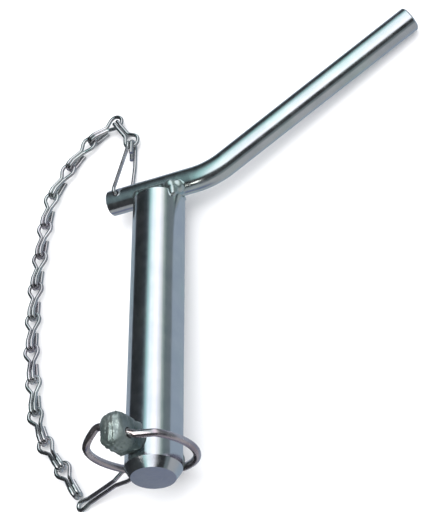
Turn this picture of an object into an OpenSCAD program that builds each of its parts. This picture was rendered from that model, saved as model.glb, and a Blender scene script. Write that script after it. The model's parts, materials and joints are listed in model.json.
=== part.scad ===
// Bent handle hitch pin with a linch pin, its snap ring and a keeper chain.
// The pin lies on a floor. The origin is on the shank's axis at its upper rim,
// +Z is straight up from the floor, and -Y runs towards the nose.

/* [Shank] */
// Diameter of the shank
shank_dia = 25.4; // [22:0.1:30]
// Length from the nose to the underside of the handle
shank_len = 152; // [140:0.5:165]
// Length of the bevel at the nose
nose_bevel_len = 4.5; // [2:0.1:8]
// Width that the nose bevel takes off all round
nose_bevel_width = 2.75; // [1:0.05:4]
// Bevel at the upper rim, under the handle
rim_bevel = 2.2; // [1:0.1:3]

/* [Handle] */
// Diameter of the handle's round bar
handle_dia = 12.7; // [11:0.1:15]
// Length of the stub from the shank's axis to its cut end
stub_len = 26.8; // [25:0.1:32]
// Straight length from the shank's axis to the bend
bend_start = 18.8; // [14:0.1:30]
// Radius of the bend, along the bar's centre line
bend_radius = 33.9; // [20:0.1:60]
// Angle that the arm is bent up by
bend_angle = 30; // [15:1:45]
// Straight length of the arm after the bend
arm_len = 114; // [80:1:130]
// Bevel at the two cut ends of the bar
bar_bevel = 0.7; // [0.2:0.1:1.5]
// Distance of the clip's hole from the stub's cut end
clip_hole_inset = 6; // [4:0.1:8]
// Diameter of the clip's hole
clip_hole_dia = 3; // [2.6:0.1:4]

/* [Weld] */
// Radius of each ripple of the weld beads
weld_radius = 3.1; // [2.6:0.05:3.6]
// Distance from one ripple to the next
weld_step = 2.5; // [1.8:0.1:3.2]
// Height of the ripples' centres above the shank's top
weld_lift = 1.7; // [1.4:0.1:2]
// Distance of the ripples' centres from the bar's axis, as a share of the bar's radius
weld_offset = 0.8; // [0.7:0.05:0.9]

/* [Linch pin] */
// Diameter of the linch pin's body
linch_dia = 11.1; // [9.5:0.1:12]
// Gap all round between the linch pin and its hole
linch_gap = 0.4; // [0.3:0.05:0.8]
// Distance from the nose to the linch pin's axis
linch_inset = 12.5; // [11.5:0.1:16]
// Angle that the linch pin leans away from upright
linch_lean = 16.2; // [5:0.1:25]
// Length that the tip stands out below the shank
tip_out = 3.3; // [1.5:0.1:3.5]
// Gap between the shank and the linch pin's neck
neck_gap = 0.9; // [0.4:0.1:2]
// Width of the forged head, across the ring's hole
head_width = 12.4; // [11:0.1:14]
// Depth of the forged head, along the shank
head_depth = 17; // [13:0.1:18]
// Height of the forged head
head_height = 15.8; // [14.5:0.1:18]
// Radius of the head's upright corners
head_corner = 4.5; // [1:0.1:5]
// Radius of the head's edges at the closed end
head_edge = 2.4; // [1:0.1:3]
// Distance from the neck to the ring's hole
ring_hole_height = 10.1; // [9:0.1:10.5]

/* [Ring] */
// Diameter of the ring's wire
ring_wire_dia = 3.5; // [2.8:0.1:4]
// Radius of the ring, along the wire's centre line
ring_radius = 24; // [23.4:0.1:27]
// Gap all round between the ring's ends and their bore
ring_bore_gap = 0.3; // [0.25:0.05:0.6]

/* [Chain] */
// Diameter of the chain's wire
wire_dia = 1.9; // [1.5:0.05:1.9]
// Distance from one link to the next
link_pitch = 17.8; // [17.2:0.1:19]
// Radius of a link's round loop, along the wire's centre line
loop_radius = 3.65; // [3.6:0.05:4]
// Radius of a link's twin eyes, along the wire's centre line
eye_radius = 2.35; // [2.35:0.05:2.7]

/* [Clips] */
// Distance from the clip's hole to the first link
top_clip_reach = 43; // [36:0.5:50]
// Distance from the ring's wire to the lower clip's far end
low_clip_reach = 31; // [26:0.5:34]

/* [Hidden] */
$fn = 64;

zinc = [0.74, 0.76, 0.78];
dull_zinc = [0.60, 0.62, 0.60];
weld_grey = [0.66, 0.68, 0.70];

// How far a straight stretch of wire laps into a bend, and how much thinner the bend is
bend_lap = 0.08;
bend_ease = 0.006;

// Sizes that follow from the driving ones
shank_r = shank_dia / 2;
nose_y = rim_bevel - shank_len;
handle_r = handle_dia / 2;
handle_y = rim_bevel + handle_r;
arm_start = [
    bend_start + bend_radius * sin(bend_angle),
    handle_y + bend_radius * (1 - cos(bend_angle)),
    0
];
arm_dir = [cos(bend_angle), sin(bend_angle), 0];
arm_end = arm_start + arm_len * arm_dir;
clip_hole = [clip_hole_inset - stub_len, handle_y, 0];
wire_r = wire_dia / 2;

// The linch pin's own frame: x across the head, y down to the tip, z towards the handle
linch_y = nose_y + linch_inset;
linch_r = linch_dia / 2;
linch_hole_r = linch_r + linch_gap;
tip_end = shank_r + tip_out;
neck_start = -shank_r - neck_gap;
head_taper = 4.5;
head_top = neck_start - head_height;
tip_bevel = 2;
facet_start = 0.7;
facet_lean = 8;
ring_wire_r = ring_wire_dia / 2;
ring_bore_r = ring_wire_r + ring_bore_gap;
ring_bore_mid = [0, neck_start - ring_hole_height, 0.75];
ring_bore_dir = unit([12.4, 3, -6]);

// The ring's circle is a little out of true with the linch pin, being a sprung wire
ring_centre = [-2.8, tip_end + ring_wire_r + 1.45 - ring_radius, -0.7];
ring_tilt = 3.7;
ring_roll = 7.9;
ring_from = -128;
ring_to = 117;
ring_leads = [2.6, 6];
ring_bends = [[4, 4], [11, 5]];
ring_mouth = 10.5;
ring_end_gap = 0.8;

// Floor under the lying pin: it touches the rim, the ring's foot and the arm's end
ring_x = [cos(ring_roll), 0, -sin(ring_roll)];
ring_y = [sin(ring_tilt) * sin(ring_roll), cos(ring_tilt), sin(ring_tilt) * cos(ring_roll)];
down = [-sin(linch_lean), cos(linch_lean), 0];
ring_down = unit(ring_x * (down * ring_x) + ring_y * (down * ring_y));
foot = from_linch(ring_centre + ring_radius * ring_down) - [0, 0, ring_wire_r];
floor_det = arm_end.x * foot.y - foot.x * arm_end.y;
floor_p = ((shank_r - handle_r) * foot.y - (shank_r + foot.z) * arm_end.y) / floor_det;
floor_q = (arm_end.x * (shank_r + foot.z) - foot.x * (shank_r - handle_r)) / floor_det;
rest_tilt = -atan(floor_q);
rest_roll = atan(floor_p / sqrt(1 + floor_q * floor_q));
floor_z = -shank_r / sqrt(1 + floor_p * floor_p + floor_q * floor_q);

// The lower clip hangs on the ring and slopes down to the floor
clip_seat = -52;
seat = on_floor(from_linch(ring_point(clip_seat)));
low_heading = 197;
low_end = flat(seat) + low_clip_reach * heading(low_heading);
low_slope = atan((seat.z - floor_z - wire_r - 0.1) / low_clip_reach);
low_half = wire_r + 0.3;
low_tip_r = wire_r + 1;

// The chain lies flat, from the top clip's eyes to the lower clip's far end. Its last
// eyes stop a small gap short of the clip, so that the loop of pieces stays open there.
chain_z = floor_z + eye_radius + wire_r;
eye_shift = 0.3;
eye_side = wire_r + 0.1;
eye_bend = eye_radius - 0.02;
eye_lead = 2;
link_neck = 5.3;
cut_back = 1.2;
top_hole = on_floor(clip_hole);
top_heading = 88.8;
chain_start = flat(top_hole) + top_clip_reach * heading(top_heading);
end_heading = 298;
end_gap = 0.4;
chain_end = low_end - 2 * wire_r * heading(low_heading)
    - (low_tip_r + wire_r + end_gap) * heading(end_heading);
chain_span = chain_end - chain_start;
// Heading of each link: up and over from the clip, then down beside the shank
link_headings = [146, 219, 235, 244, 262, 265, 266, 269, 271, 276, 276, 288, 299, 296];
link_count = len(link_headings);
mid_heading = 262;
chain_sweep = fit_sweep(0.2, 1.6, 30);
chain_turn = angle_of(chain_span) - angle_of(chain_vector(chain_sweep));

function unit(v) = v / norm(v);
function flat(p) = [p.x, p.y];
function heading(a) = [cos(a), sin(a)];
function angle_of(v) = atan2(v.y, v.x);
function sum(list, i = 0) = i == len(list) - 1 ? list[i] : list[i] + sum(list, i + 1);

// A point of the linch pin's frame in the shank's frame
function from_linch(p) = [
    p.x * cos(linch_lean) + p.y * sin(linch_lean),
    p.z + linch_y,
    p.x * sin(linch_lean) - p.y * cos(linch_lean)
];

// A point of the shank's frame in the frame of the floor
function on_floor(p) = let (
    y = p.y * cos(rest_tilt) - p.z * sin(rest_tilt),
    z = p.y * sin(rest_tilt) + p.z * cos(rest_tilt)
) [p.x * cos(rest_roll) + z * sin(rest_roll), y, z * cos(rest_roll) - p.x * sin(rest_roll)];

// The chain's curve is opened or closed until its ends lie as far apart as the clips
function link_heading(i, sweep) = mid_heading + sweep * (link_headings[i] - mid_heading);
function chain_vector(sweep) =
    link_pitch * sum([for (i = [0:link_count - 1]) heading(link_heading(i, sweep))]);
function fit_sweep(low, high, steps) = let (mid = (low + high) / 2)
    steps == 0 ? mid :
    norm(chain_vector(mid)) > norm(chain_span) ? fit_sweep(mid, high, steps - 1) :
    fit_sweep(low, mid, steps - 1);
function link_angle(i) = link_heading(i, chain_sweep) + chain_turn;
function link_place(i) = i == 0 ? chain_start :
    link_place(i - 1) + link_pitch * heading(link_angle(i - 1));

module on_floor() rotate([rest_tilt, rest_roll, 0]) children();

module on_linch() on_floor() translate([0, linch_y, 0])
    rotate([0, -linch_lean, 0]) rotate([-90, 0, 0]) children();

// A straight stretch of round bar
module bar(from, to, r) {
    along = to - from;
    translate(from)
        rotate([0, acos(along.z / norm(along)), atan2(along.y, along.x)])
            cylinder(r = r, h = norm(along));
}

// A bend in round bar at a corner, from direction u to direction v
module bend(corner, u, v, bend_r, r) {
    turn = acos(u * v);
    axis = unit(cross(u, v));
    out = cross(u, axis);
    centre = corner - u * bend_r * tan(turn / 2) - out * bend_r;
    multmatrix([
        [out.x, u.x, axis.x, centre.x],
        [out.y, u.y, axis.y, centre.y],
        [out.z, u.z, axis.z, centre.z]
    ])
        rotate_extrude(angle = turn) translate([bend_r, 0]) circle(r = r - bend_ease);
}

// Round wire along a list of corners, each rounded to its own bend radius.
// The straight stretches run a little into the bends, which are a hair thinner.
module bent_wire(points, bends, r) {
    last = len(points) - 1;
    dirs = [for (i = [0:last - 1]) unit(points[i + 1] - points[i])];
    cuts = [for (i = [0:last]) i == 0 || i == last ? 0 :
        bends[i - 1] * tan(acos(dirs[i - 1] * dirs[i]) / 2) - bend_lap];
    for (i = [0:last - 1])
        bar(points[i] + dirs[i] * cuts[i], points[i + 1] - dirs[i] * cuts[i + 1], r);
    for (i = [1:last - 1])
        bend(points[i], dirs[i - 1], dirs[i], bends[i - 1], r);
}

// Turned body of the shank, along +Y from the nose
module shank_body() rotate([-90, 0, 0]) rotate_extrude() polygon([
    [0, nose_y],
    [shank_r - nose_bevel_width, nose_y],
    [shank_r, nose_y + nose_bevel_len],
    [shank_r, 0],
    [shank_r - rim_bevel, rim_bevel],
    [0, rim_bevel]
]);

module shank() color(zinc) difference() {
    on_floor() shank_body();
    on_linch() rotate([-90, 0, 0])
        cylinder(r = linch_hole_r, h = 2 * shank_dia, center = true);
}

// Round bar of the handle: stub, bend and arm
module handle_bar() {
    translate([-stub_len, handle_y, 0]) rotate([0, 90, 0]) {
        cylinder(r1 = handle_r - bar_bevel, r2 = handle_r, h = bar_bevel);
        translate([0, 0, bar_bevel])
            cylinder(r = handle_r, h = stub_len + bend_start - bar_bevel + bend_lap);
    }
    translate([bend_start, handle_y + bend_radius, 0]) rotate([0, 0, -90])
        rotate_extrude(angle = bend_angle) translate([bend_radius, 0])
            circle(r = handle_r - bend_ease);
    translate(arm_start) rotate([0, 90, bend_angle]) {
        translate([0, 0, -bend_lap])
            cylinder(r = handle_r, h = arm_len - bar_bevel + bend_lap);
        translate([0, 0, arm_len - bar_bevel])
            cylinder(r1 = handle_r, r2 = handle_r - bar_bevel, h = bar_bevel);
    }
}

module bent_handle() color(zinc) on_floor() difference() {
    handle_bar();
    translate(clip_hole) cylinder(r = clip_hole_dia / 2, h = 2 * handle_dia, center = true);
}

// Rippled fillet weld between the shank's top and the bar, on one side of the bar
module weld_bead(side) {
    bead_z = side * weld_offset * handle_r;
    half = sqrt(pow(shank_r - rim_bevel, 2) - bead_z * bead_z);
    count = floor(2 * half / weld_step) + 1;
    difference() {
        for (i = [0:count - 1])
            translate([(i - (count - 1) / 2) * weld_step, rim_bevel + weld_lift, bead_z])
                sphere(r = weld_radius);
        shank_body();
        translate([-shank_dia, handle_y, 0]) rotate([0, 90, 0])
            cylinder(r = handle_r, h = 2 * shank_dia);
    }
}

module weld_front() color(weld_grey) on_floor() weld_bead(1);
module weld_back() color(weld_grey) on_floor() weld_bead(-1);

// Outline of the forged head from one side: round at the closed end, narrow at the neck
module head_outline(half) {
    shoulder = neck_start - head_taper;
    polygon([
        [-half, head_top + head_edge],
        [half, head_top + head_edge],
        [half, shoulder],
        [linch_r, neck_start],
        [-linch_r, neck_start],
        [-half, shoulder]
    ]);
    translate([0, head_top + head_edge]) {
        square([2 * (half - head_edge), 2 * head_edge], center = true);
        for (x = [-1, 1]) translate([x * (half - head_edge), 0]) circle(r = head_edge);
    }
}

module rounded_plate(w, d, r) {
    square([2 * w, 2 * (d - r)], center = true);
    square([2 * (w - r), 2 * d], center = true);
    for (x = [-1, 1], y = [-1, 1]) translate([x * (w - r), y * (d - r)]) circle(r = r);
}

module head_block() intersection() {
    translate([0, 0, -head_depth]) linear_extrude(height = 2 * head_depth)
        head_outline(head_width / 2);
    rotate([0, -90, 0]) translate([0, 0, -head_width]) linear_extrude(height = 2 * head_width)
        head_outline(head_depth / 2);
    translate([0, head_top - 1, 0]) rotate([-90, 0, 0])
        linear_extrude(height = head_height + 2)
            rounded_plate(head_width / 2, head_depth / 2, head_corner);
}

// Slanted flat that the forging leaves along one edge, wider towards the nose
module head_facet() translate([head_width / 2, head_top, head_depth / 2])
    rotate([0, 0, 45]) rotate([facet_lean, 0, 0])
        translate([-head_width, -head_width, -2 * head_depth])
            cube([2 * head_width, head_width + facet_start, 3 * head_depth]);

module linch_body() {
    neck_lap = 0.5;
    translate([0, neck_start - neck_lap, 0]) rotate([-90, 0, 0])
        cylinder(r = linch_r, h = tip_end - neck_start + neck_lap - tip_bevel);
    translate([0, tip_end - tip_bevel, 0]) rotate([-90, 0, 0])
        cylinder(r1 = linch_r, r2 = linch_r - tip_bevel, h = tip_bevel);
}

module linch_pin() color(dull_zinc) on_linch() difference() {
    union() {
        head_block();
        linch_body();
    }
    head_facet();
    bar(ring_bore_mid - 2 * head_width * ring_bore_dir,
        ring_bore_mid + 2 * head_width * ring_bore_dir, ring_bore_r);
}

// A point and the direction of travel on the ring's circle, from the tip's side round
function ring_point(a) =
    ring_centre + ring_radius * (cos(a) * ring_y + sin(a) * ring_x);
function ring_travel(a) = cos(a) * ring_x - sin(a) * ring_y;

// From one end of the ring's circle, round two bends and into the bore
module ring_end(a, way, lead, bends) {
    start = ring_point(a) - way * bend_lap * ring_travel(a);
    bent_wire([
        start,
        start + way * lead * ring_travel(a),
        ring_bore_mid + way * ring_mouth * ring_bore_dir,
        ring_bore_mid + way * ring_end_gap / 2 * ring_bore_dir
    ], bends, ring_wire_r);
}

module snap_ring() color(zinc) on_linch() {
    translate(ring_centre) rotate([ring_tilt, ring_roll, 0]) rotate([0, 0, 90 - ring_to])
        rotate_extrude(angle = ring_to - ring_from) translate([ring_radius, 0])
            circle(r = ring_wire_r - bend_ease);
    ring_end(ring_to, 1, ring_leads[0], ring_bends[0]);
    ring_end(ring_from, -1, ring_leads[1], ring_bends[1]);
}

// Slope of a link's side, from its round loop to its narrow neck
function leg_slope(neck) = asin(loop_radius / norm(neck)) - atan2(neck.y, neck.x);

// Corners of one half of a link, from its cut end round an eye to the loop
function half_link(side) = let (
    eye_x = link_pitch - loop_radius + eye_shift,
    neck = [link_neck, eye_side],
    loop_y = loop_radius * tan(45 + leg_slope(neck) / 2)
) [
    [link_neck + cut_back, side * eye_side, -eye_radius],
    [eye_x + eye_radius, side * eye_side, -eye_radius],
    [eye_x + eye_radius, side * eye_side, eye_radius],
    [eye_x - eye_lead, side * eye_side, eye_radius],
    [neck.x, side * neck.y, 0],
    [-loop_radius, side * loop_y, 0]
];
function reverse(list) = [for (i = [len(list) - 1:-1:0]) list[i]];

// One bent wire: a round loop at one end, twin eyes at the other
module wire_link() {
    bends = [eye_bend, eye_bend, 1.5, 3, loop_radius];
    bent_wire(
        concat(half_link(1), reverse(half_link(-1))),
        concat(bends, reverse(bends)),
        wire_r
    );
}

module chain_link(i) color(zinc)
    translate([link_place(i).x, link_place(i).y, chain_z]) rotate([0, 0, link_angle(i)])
        wire_link();

// Long clip: through the stub's hole, two legs, and an eye at the end of each leg
module top_clip() color(zinc) {
    over = handle_r + 3;
    under = handle_r + 2.35;
    eye_x = top_clip_reach - loop_radius + eye_shift;
    hub = top_hole.z - chain_z;
    bends = [eye_bend, eye_bend, 3, 1.6, 1.6, 20, eye_bend, eye_bend];
    translate([top_hole.x, top_hole.y, chain_z]) rotate([0, 0, top_heading]) bent_wire([
        [eye_x - 7, eye_side, -eye_radius],
        [eye_x + eye_radius, eye_side, -eye_radius],
        [eye_x + eye_radius, eye_side, eye_radius],
        [eye_x - eye_lead, eye_side, eye_radius],
        [0, 0, hub + over],
        [0, 0, hub - under],
        [eye_x - 12, -eye_side, -eye_radius],
        [eye_x + eye_radius, -eye_side, -eye_radius],
        [eye_x + eye_radius, -eye_side, eye_radius],
        [eye_x - 6, -eye_side, eye_radius]
    ], bends, wire_r);
}

// Closed hairpin clip: a wide loop round the ring's wire, a small one at its far end
module low_clip() color(zinc) {
    loop_r = ring_wire_r + wire_r + 0.4;
    loop_back = loop_r + 2.05;
    loop_ahead = 4.5;
    neck = 11;
    seam = 15;
    seam_gap = 0.3;
    tip = low_clip_reach / cos(low_slope) + low_half;
    flare = tip - 6.5;
    flare_end = tip - 3;
    loop_bend = loop_r - 0.01;
    tip_bend = low_tip_r - 0.02;
    translate(seat) rotate([0, low_slope, low_heading]) bent_wire([
        [seam, low_half, 0],
        [neck, low_half, 0],
        [loop_ahead, loop_r, 0],
        [-loop_back, loop_r, 0],
        [-loop_back, -loop_r, 0],
        [loop_ahead, -loop_r, 0],
        [neck, -low_half, 0],
        [flare, -low_half, 0],
        [flare_end, -low_tip_r, 0],
        [tip, -low_tip_r, 0],
        [tip, low_tip_r, 0],
        [flare_end, low_tip_r, 0],
        [flare, low_half, 0],
        [seam + seam_gap, low_half, 0]
    ], [4, 4, loop_bend, loop_bend, 4, 4, 4, 4, tip_bend, tip_bend, 4, 4], wire_r);
}

shank();
bent_handle();
weld_front();
weld_back();
linch_pin();
snap_ring();
top_clip();
for (i = [0:link_count - 1])
    chain_link(i);
low_clip();
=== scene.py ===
"""Looks for the bent handle hitch pin: bright zinc plated steel, lying on a pale floor."""

import json

import bmesh
import bpy
from mathutils import Matrix, Vector
from mathutils import noise as field

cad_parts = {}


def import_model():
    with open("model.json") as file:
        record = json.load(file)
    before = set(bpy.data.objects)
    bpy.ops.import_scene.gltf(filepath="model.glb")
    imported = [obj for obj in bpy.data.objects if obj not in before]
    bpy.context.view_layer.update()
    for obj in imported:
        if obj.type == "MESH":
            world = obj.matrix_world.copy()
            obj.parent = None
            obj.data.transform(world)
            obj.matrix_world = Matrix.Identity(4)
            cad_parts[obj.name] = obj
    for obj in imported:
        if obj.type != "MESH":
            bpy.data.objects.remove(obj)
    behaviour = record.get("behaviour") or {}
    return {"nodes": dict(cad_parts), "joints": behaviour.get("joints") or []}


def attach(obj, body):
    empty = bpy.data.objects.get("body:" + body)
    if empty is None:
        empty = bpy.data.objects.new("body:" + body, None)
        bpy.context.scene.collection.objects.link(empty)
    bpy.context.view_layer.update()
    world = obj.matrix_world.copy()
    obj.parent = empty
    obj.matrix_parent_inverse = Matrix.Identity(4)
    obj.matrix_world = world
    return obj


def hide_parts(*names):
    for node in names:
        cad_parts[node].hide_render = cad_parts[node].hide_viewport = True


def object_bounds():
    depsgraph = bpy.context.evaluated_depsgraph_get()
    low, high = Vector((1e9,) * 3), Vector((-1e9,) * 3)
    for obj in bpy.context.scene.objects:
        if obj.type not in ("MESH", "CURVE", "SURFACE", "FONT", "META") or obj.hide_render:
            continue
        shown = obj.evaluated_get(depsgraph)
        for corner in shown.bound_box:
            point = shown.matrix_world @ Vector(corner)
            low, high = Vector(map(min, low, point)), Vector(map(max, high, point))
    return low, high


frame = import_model()
CAD_BOX = [list(corner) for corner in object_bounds()]

# Camera: where it stands, in metres, where it looks, and its lens in millimetres
CAMERA_PLACE = Vector((0.2641, -0.4193, 0.5355))
CAMERA_LOOK = Vector((-0.3346, 0.5447, -0.7690))
CAMERA_UP = Vector((0.2554, 0.8379, 0.4825))
CAMERA_LENS = 105.25
CAMERA_SENSOR = 36.0
CAMERA_CLIP_END = 20

# Large soft lamp overhead, in metres and watts
KEY_PLACE = Vector((0.25, 0.25, 1.1))
KEY_AIM = Vector((0, 0, 0))
KEY_SIZE = 0.8
KEY_ENERGY = 3.0

# Studio seen in the metal, by direction: an overhead softbox in stripes across x / z
SOFTBOX_STOPS = [
    (-1.2, (0.010, 0.014, 0.016)),
    (-0.62, (0.016, 0.022, 0.028)),
    (-0.44, (0.05, 0.07, 0.08)),
    (-0.34, (0.13, 0.18, 0.19)),
    (-0.20, (0.38, 0.63, 0.63)),
    (0.05, (1.0, 1.12, 1.15)),
    (0.5, (1.3, 1.28, 1.36)),
    (1.0, (0.84, 0.87, 0.86)),
    (1.45, (0.30, 0.37, 0.34)),
    (2.2, (0.13, 0.17, 0.17)),
]
SOFTBOX_SPAN = (-1.5, 3.0)
SOFTBOX_FRONT = (-0.85, -0.55)
LEAST_HEIGHT = 0.02

# Walls of the studio, dark to the left and dim to the right, and where the softbox meets them
WALL = (0.012, 0.014, 0.016)
DIM_WALL = (0.14, 0.17, 0.18)
WALL_TURN = (-0.3, 0.3)
WALL_TOP = (0.30, 0.12)

# Floor of the studio: its horizon, its glow, the part in front, and two darker places
HORIZON = (-0.02, -0.14)
FLOOR_GLOW = (0.30, 0.36, 0.42)
FLOOR_FRONT = (0.36, 0.37, 0.38)
FLOOR_FRONT_FROM = (-0.05, -0.35)
FLOOR_DUSK = (0.145, 0.175, 0.27)
DUSK_X = (0.1, -0.15)
DUSK_Y = (-0.42, -0.58)
DUSK_Z = (-0.45, -0.62)
LEFT_FLAG = (0.02, 0.022, 0.026)
FLAG_X = (-0.35, -0.6)
FLAG_Y = (0.42, 0.27)

# What lights every surface that isn't mirroring the studio
ROOM_LIGHT = (1.5, 1.51, 1.53)

# Small card that the ring's front and the forged head mirror, in metres and watts
RING_CARD_PLACE = Vector((-0.0134, -0.14, 0.0717))
RING_CARD_AIM = Vector((0.005, -0.14, 0.02))
RING_CARD_SIZE = (0.05, 0.028)
RING_CARD_ENERGY = 0.012
RING_CARD_COLOUR = (1.0, 0.97, 0.92)

# Zinc plate: faint tints by noise, and the noise where its tone and gloss turn over
TINT_STOPS = [(0.38, (0.93, 1.0, 0.97)), (0.5, (1, 1, 1)), (0.62, (0.97, 0.96, 1.0))]
TONE_TURN = (0.35, 0.65)
GLOSS_TURN = (0.3, 0.7)

# How fine the plate's tones, tints, gloss and grain vary, and its grain's depth in metres
TONE_SCALE = 90
TINT_SCALE = 28
GLOSS_SCALE = 260
GRAIN_SCALE = 700
GRAIN_DEPTH = 0.0001

# Melted weld beads: voxel in metres, and how strongly and how often they are smoothed
WELD_VOXEL = 0.0003
WELD_FLOW = 0.6
WELD_SMOOTHING = 60

# Drops where the front run ends and flows down the shank: place and radius
WELD_DROPS = [
    ((0.0092, 0.0036, 0.0062), 0.0034),
    ((0.0122, 0.0038, 0.0040), 0.0036),
    ((0.0106, 0.0006, 0.0070), 0.0026),
    ((0.0108, -0.0014, 0.0070), 0.0023),
]
DROP_SUBDIVISIONS = 3

# Forged head of the linch pin: voxel in metres, and its smoothing before and after the marks
FORGE_VOXEL = 0.00035
FORGE_WEAR = 0.5
FORGE_SMOOTHING = 400
FORGE_LAST_SMOOTHING = 4

# Where the worn head starts along the pin, what is kept round the ring's bore, in metres
HEAD_START = 0.0150
HEAD_FADE = 0.002
BORE_KEEP = 0.0024
BORE_FADE = 0.0015

# Furrows along the shank's direction and rounder dents: how fine and how deep they are
FURROW_SCALE = (620, 70, 620)
FURROW_DEPTH = 0.0012
FURROW_CREST = 0.1
DENT_SCALE = 240
DENT_DEPTH = 0.0008

# Floor that the pin lies on
FLOOR_HALF = 3.0
FLOOR_COLOUR = (0.93, 0.93, 0.94, 1)
FLOOR_ROUGHNESS = 0.9
FLOOR_SHEEN = 0.1


def new_material(name):
    """A material with nothing but its shader, and what every material here uses of it."""
    material = bpy.data.materials.new(name)
    material.use_nodes = True
    nodes = material.node_tree.nodes
    nodes.clear()
    shader = nodes.new("ShaderNodeBsdfPrincipled")
    output = nodes.new("ShaderNodeOutputMaterial")
    material.node_tree.links.new(shader.outputs["BSDF"], output.inputs["Surface"])
    return material, nodes, material.node_tree.links, shader


def colour_ramp(nodes, stops):
    """A colour ramp with a stop for each place and colour."""
    ramp = nodes.new("ShaderNodeValToRGB")
    elements = ramp.color_ramp.elements
    while len(elements) < len(stops):
        elements.new(0.5)
    for element, (place, colour) in zip(elements, stops):
        element.position = place
        element.color = (*colour, 1)
    return ramp


def noise(nodes, links, scale, detail, stretch=(1, 1, 1)):
    """Noise in the row frame's metres, stretched along the axes."""
    coords = nodes.new("ShaderNodeTexCoord")
    mapping = nodes.new("ShaderNodeMapping")
    mapping.inputs["Scale"].default_value = stretch
    texture = nodes.new("ShaderNodeTexNoise")
    texture.inputs["Scale"].default_value = scale
    texture.inputs["Detail"].default_value = detail
    links.new(coords.outputs["Object"], mapping.inputs["Vector"])
    links.new(mapping.outputs["Vector"], texture.inputs["Vector"])
    return texture.outputs["Fac"]


def zinc(name, light, dark, rough, bump, grain=GRAIN_SCALE, metal=1.0, lines=None):
    """Zinc plate: two close tones with a faint tint, uneven gloss and a fine surface grain."""
    material, nodes, links, shader = new_material(name)
    shader.inputs["Metallic"].default_value = metal
    tone = colour_ramp(nodes, [(TONE_TURN[0], dark), (TONE_TURN[1], light)])
    links.new(noise(nodes, links, TONE_SCALE, 4), tone.inputs["Fac"])
    tint = colour_ramp(nodes, TINT_STOPS)
    links.new(noise(nodes, links, TINT_SCALE, 2), tint.inputs["Fac"])
    tinted = nodes.new("ShaderNodeMix")
    tinted.data_type = "RGBA"
    tinted.blend_type = "MULTIPLY"
    tinted.inputs[0].default_value = 1.0
    links.new(tone.outputs["Color"], tinted.inputs[6])
    links.new(tint.outputs["Color"], tinted.inputs[7])
    links.new(tinted.outputs[2], shader.inputs["Base Color"])
    gloss = nodes.new("ShaderNodeMapRange")
    gloss.inputs["From Min"].default_value = GLOSS_TURN[0]
    gloss.inputs["From Max"].default_value = GLOSS_TURN[1]
    gloss.inputs["To Min"].default_value = rough[0]
    gloss.inputs["To Max"].default_value = rough[1]
    links.new(noise(nodes, links, GLOSS_SCALE, 3), gloss.inputs["Value"])
    links.new(gloss.outputs["Result"], shader.inputs["Roughness"])
    relief = nodes.new("ShaderNodeBump")
    relief.inputs["Strength"].default_value = bump
    relief.inputs["Distance"].default_value = GRAIN_DEPTH
    links.new(noise(nodes, links, grain, 3), relief.inputs["Height"])
    if lines:
        furrows = nodes.new("ShaderNodeBump")
        furrows.inputs["Strength"].default_value = lines["strength"]
        furrows.inputs["Distance"].default_value = lines["depth"]
        height = noise(nodes, links, lines["scale"], 2, lines["stretch"])
        links.new(height, furrows.inputs["Height"])
        links.new(relief.outputs["Normal"], furrows.inputs["Normal"])
        relief = furrows
    links.new(relief.outputs["Normal"], shader.inputs["Normal"])
    return material


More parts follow.
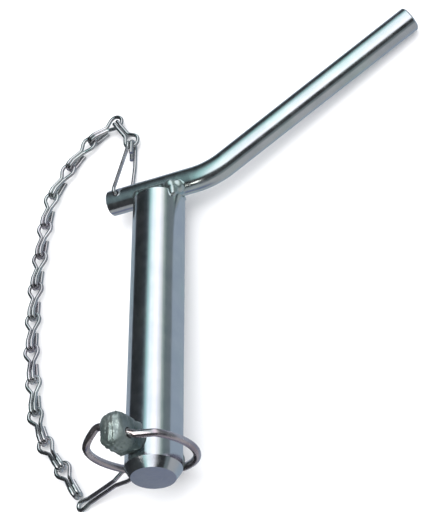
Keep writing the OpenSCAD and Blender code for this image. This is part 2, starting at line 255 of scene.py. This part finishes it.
def world():
    """A studio in the reflections, by direction, and even room light for all other rays."""
    scene_world = bpy.data.worlds.new("studio")
    bpy.context.scene.world = scene_world
    scene_world.use_nodes = True
    nodes = scene_world.node_tree.nodes
    links = scene_world.node_tree.links
    nodes.clear()

    def math_node(kind, a, b):
        node = nodes.new("ShaderNodeMath")
        node.operation = kind
        for socket, value in zip(node.inputs, (a, b)):
            if isinstance(value, (int, float)):
                socket.default_value = value
            else:
                links.new(value, socket)
        return node.outputs[0]

    def edge(value, start, end):
        """0 before start, 1 after end, smooth between them."""
        node = nodes.new("ShaderNodeMapRange")
        node.interpolation_type = "SMOOTHSTEP"
        links.new(value, node.inputs["Value"])
        node.inputs["From Min"].default_value = start
        node.inputs["From Max"].default_value = end
        return node.outputs["Result"]

    def mix(factor, a, b):
        node = nodes.new("ShaderNodeMix")
        node.data_type = "RGBA"
        links.new(factor, node.inputs[0])
        for socket, value in ((node.inputs[6], a), (node.inputs[7], b)):
            if isinstance(value, tuple):
                socket.default_value = (*value, 1)
            else:
                links.new(value, socket)
        return node.outputs[2]

    def ramp(value, start, end, stops):
        """A colour ramp over a value's range, with its stops given in that range."""
        place = nodes.new("ShaderNodeMapRange")
        place.inputs["From Min"].default_value = start
        place.inputs["From Max"].default_value = end
        links.new(value, place.inputs["Value"])
        span = end - start
        table = colour_ramp(nodes, [((at - start) / span, colour) for at, colour in stops])
        table.color_ramp.interpolation = "EASE"
        links.new(place.outputs["Result"], table.inputs["Fac"])
        return table.outputs["Color"]

    coords = nodes.new("ShaderNodeTexCoord")
    split = nodes.new("ShaderNodeSeparateXYZ")
    links.new(coords.outputs["Generated"], split.inputs[0])
    x, y, z = split.outputs
    height = math_node("MAXIMUM", z, LEAST_HEIGHT)
    over_x = math_node("DIVIDE", x, height)
    over_y = math_node("DIVIDE", y, height)
    softbox = ramp(over_x, *SOFTBOX_SPAN, SOFTBOX_STOPS)
    above = mix(edge(over_y, *SOFTBOX_FRONT), WALL, softbox)
    sides = mix(edge(x, *WALL_TURN), WALL, DIM_WALL)
    room = mix(edge(z, *WALL_TOP), above, sides)
    below = mix(edge(y, *FLOOR_FRONT_FROM), FLOOR_GLOW, FLOOR_FRONT)
    dusk = math_node("MULTIPLY", edge(y, *DUSK_Y), edge(z, *DUSK_Z))
    dusk = math_node("MULTIPLY", dusk, edge(x, *DUSK_X))
    below = mix(dusk, below, FLOOR_DUSK)
    flag = math_node("MULTIPLY", edge(y, *FLAG_Y), edge(x, *FLAG_X))
    below = mix(flag, below, LEFT_FLAG)
    room = mix(edge(z, *HORIZON), room, below)
    shown = nodes.new("ShaderNodeLightPath")
    lit = mix(shown.outputs["Is Glossy Ray"], ROOM_LIGHT, room)
    background = nodes.new("ShaderNodeBackground")
    output = nodes.new("ShaderNodeOutputWorld")
    links.new(lit, background.inputs["Color"])
    links.new(background.outputs[0], output.inputs["Surface"])


def area_lamp(name, place, aim, energy):
    """An area lamp at a place, facing a point: its object and its light."""
    lamp = bpy.data.lights.new(name, "AREA")
    lamp.energy = energy
    obj = bpy.data.objects.new(name, lamp)
    obj.location = place
    obj.rotation_euler = (aim - place).to_track_quat("-Z", "Y").to_euler()
    bpy.context.scene.collection.objects.link(obj)
    return obj, lamp


def key_light():
    """A large soft lamp overhead, for the shadows under the pin."""
    obj, lamp = area_lamp("key", KEY_PLACE, KEY_AIM, KEY_ENERGY)
    lamp.shape = "DISK"
    lamp.size = KEY_SIZE
    obj.visible_glossy = False


def ring_card():
    """A small bright card over the ring, seen only in the metal near it."""
    obj, lamp = area_lamp("ring_card", RING_CARD_PLACE, RING_CARD_AIM, RING_CARD_ENERGY)
    lamp.shape = "RECTANGLE"
    lamp.size, lamp.size_y = RING_CARD_SIZE
    lamp.color = RING_CARD_COLOUR
    obj.visible_camera = False
    obj.visible_diffuse = False


def camera():
    """The camera, turned so that its own up lies along CAMERA_UP."""
    data = bpy.data.cameras.new("camera")
    data.lens = CAMERA_LENS
    data.sensor_width = CAMERA_SENSOR
    data.sensor_fit = "AUTO"
    data.clip_end = CAMERA_CLIP_END
    obj = bpy.data.objects.new("camera", data)
    back = -CAMERA_LOOK.normalized()
    right = CAMERA_UP.cross(back).normalized()
    up = back.cross(right)
    turn = Matrix((right, up, back)).transposed()
    obj.matrix_world = Matrix.Translation(CAMERA_PLACE) @ turn.to_4x4()
    bpy.context.scene.collection.objects.link(obj)
    bpy.context.scene.camera = obj


def floor():
    """A plain pale floor just under the pin; the metal mirrors the studio instead of it."""
    low = CAD_BOX[0][2]
    mesh = bpy.data.meshes.new("floor")
    corners = [(-1, -1), (1, -1), (1, 1), (-1, 1)]
    points = [(x * FLOOR_HALF, y * FLOOR_HALF, low) for x, y in corners]
    mesh.from_pydata(points, [], [(0, 1, 2, 3)])
    obj = bpy.data.objects.new("floor", mesh)
    bpy.context.scene.collection.objects.link(obj)
    material, _, _, shader = new_material("floor_paper")
    shader.inputs["Base Color"].default_value = FLOOR_COLOUR
    shader.inputs["Roughness"].default_value = FLOOR_ROUGHNESS
    shader.inputs["Specular IOR Level"].default_value = FLOOR_SHEEN
    mesh.materials.append(material)
    obj.visible_glossy = False


def apply_modifiers(piece):
    """Puts what the piece's modifiers make of it into its mesh."""
    depsgraph = bpy.context.evaluated_depsgraph_get()
    worked = bpy.data.meshes.new_from_object(piece.evaluated_get(depsgraph))
    piece.modifiers.clear()
    piece.data = worked


def remeshed(name, node, voxel, drops=()):
    """A new piece with a CAD node's shape and any drops, on even small faces to be worked."""
    mesh = frame["nodes"][node].data.copy()
    shape = bmesh.new()
    shape.from_mesh(mesh)
    for place, radius in drops:
        bmesh.ops.create_icosphere(
            shape,
            subdivisions=DROP_SUBDIVISIONS,
            radius=radius,
            matrix=Matrix.Translation(place),
        )
    shape.to_mesh(mesh)
    shape.free()
    piece = bpy.data.objects.new(name, mesh)
    bpy.context.scene.collection.objects.link(piece)
    remesh = piece.modifiers.new("even", "REMESH")
    remesh.mode = "VOXEL"
    remesh.voxel_size = voxel
    apply_modifiers(piece)
    return piece


def smooth_where(piece, weight, factor, passes):
    """Smooths the piece by a weight of 0 to 1 for each point."""
    group = piece.vertex_groups.new(name="worked")
    for vertex in piece.data.vertices:
        group.add([vertex.index], weight(vertex.co), "REPLACE")
    smooth = piece.modifiers.new("smooth", "SMOOTH")
    smooth.factor = factor
    smooth.iterations = passes
    smooth.vertex_group = "worked"
    apply_modifiers(piece)


def finish_piece(piece, node, body, material):
    """Gives a worked piece its material, and puts it in its CAD node's place."""
    piece.data.materials.clear()
    piece.data.materials.append(material)
    piece.data.shade_smooth()
    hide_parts(node)
    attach(piece, body)


def weld_bead(name, material, drops=()):
    """The weld run from its CAD bead, melted together: its ripples flow into each other."""
    piece = remeshed("melted_" + name, name, WELD_VOXEL, drops)
    smooth_where(piece, lambda co: 1.0, WELD_FLOW, WELD_SMOOTHING)
    finish_piece(piece, name, "pin", material)


def fade(value, start, length):
    """0 up to start, 1 from start + length on, even between them."""
    return min(max((value - start) / length, 0.0), 1.0)


def joint_line(name):
    """A joint's place and direction."""
    joint = next(joint for joint in frame["joints"] if joint["name"] == name)
    return Vector(joint["pos_m"]), Vector(joint["axis"]).normalized()


def forged_pin(material):
    """The linch pin with its head as the forging leaves it: worn round, with furrows."""
    piece = remeshed("forged_linch_pin", "linch_pin", FORGE_VOXEL)
    foot, down = joint_line("linch_turn")
    bore, along = joint_line("ring_swing")

    def on_head(co):
        return fade(-(co - foot).dot(down), HEAD_START, HEAD_FADE)

    def worn(co):
        reach = co - bore
        off_axis = (reach - reach.dot(along) * along).length
        return on_head(co) * fade(off_axis, BORE_KEEP, BORE_FADE)

    smooth_where(piece, worn, FORGE_WEAR, FORGE_SMOOTHING)
    for vertex in piece.data.vertices:
        co = vertex.co
        depth = worn(co)
        if depth:
            furrow = field.noise(Vector([c * scale for c, scale in zip(co, FURROW_SCALE)]))
            dent = field.noise(co * DENT_SCALE)
            move = FURROW_DEPTH * min(furrow, FURROW_CREST) + DENT_DEPTH * min(dent, 0.0)
            vertex.co = co + vertex.normal * depth * move
    smooth_where(piece, on_head, FORGE_WEAR, FORGE_LAST_SMOOTHING)
    finish_piece(piece, "linch_pin", "linch_pin", material)


def dress():
    """Gives each CAD node its finish, and works the welds and the forged head."""
    drawn = {"strength": 0.12, "depth": 0.00012, "scale": 900, "stretch": (1, 0.02, 1)}
    hammered = {"strength": 0.8, "depth": 0.0007, "scale": 320, "stretch": (1, 1, 0.12)}
    shank = zinc(
        "turned_zinc", light=(0.86, 0.89, 0.91), dark=(0.79, 0.83, 0.86),
        rough=(0.12, 0.2), bump=0.04, lines=drawn,
    )
    bar = zinc(
        "drawn_zinc", light=(0.86, 0.89, 0.91), dark=(0.76, 0.80, 0.82),
        rough=(0.14, 0.23), bump=0.06,
    )
    forged = zinc(
        "forged_zinc", light=(0.34, 0.39, 0.38), dark=(0.11, 0.15, 0.15),
        rough=(0.28, 0.46), bump=0.8, grain=900, metal=0.85, lines=hammered,
    )
    spring = zinc(
        "spring_zinc", light=(0.86, 0.80, 0.80), dark=(0.60, 0.52, 0.55),
        rough=(0.16, 0.3), bump=0.15, grain=900,
    )
    wire = zinc(
        "wire_zinc", light=(0.92, 0.88, 0.90), dark=(0.62, 0.58, 0.61),
        rough=(0.14, 0.24), bump=0.12, grain=900,
    )
    weld = zinc(
        "weld_zinc", light=(0.80, 0.85, 0.86), dark=(0.58, 0.64, 0.65),
        rough=(0.24, 0.36), bump=0.3, grain=1200,
    )
    finish = {"shank": shank, "bent_handle": bar, "linch_pin": forged, "snap_ring": spring}
    for name, obj in frame["nodes"].items():
        obj.data.materials.clear()
        obj.data.materials.append(finish.get(name, wire))
    weld_bead("weld_front", weld, WELD_DROPS)
    weld_bead("weld_back", weld)
    forged_pin(forged)


camera()
world()
key_light()
ring_card()
floor()
dress()
bpy.context.scene.view_settings.view_transform = "Standard"
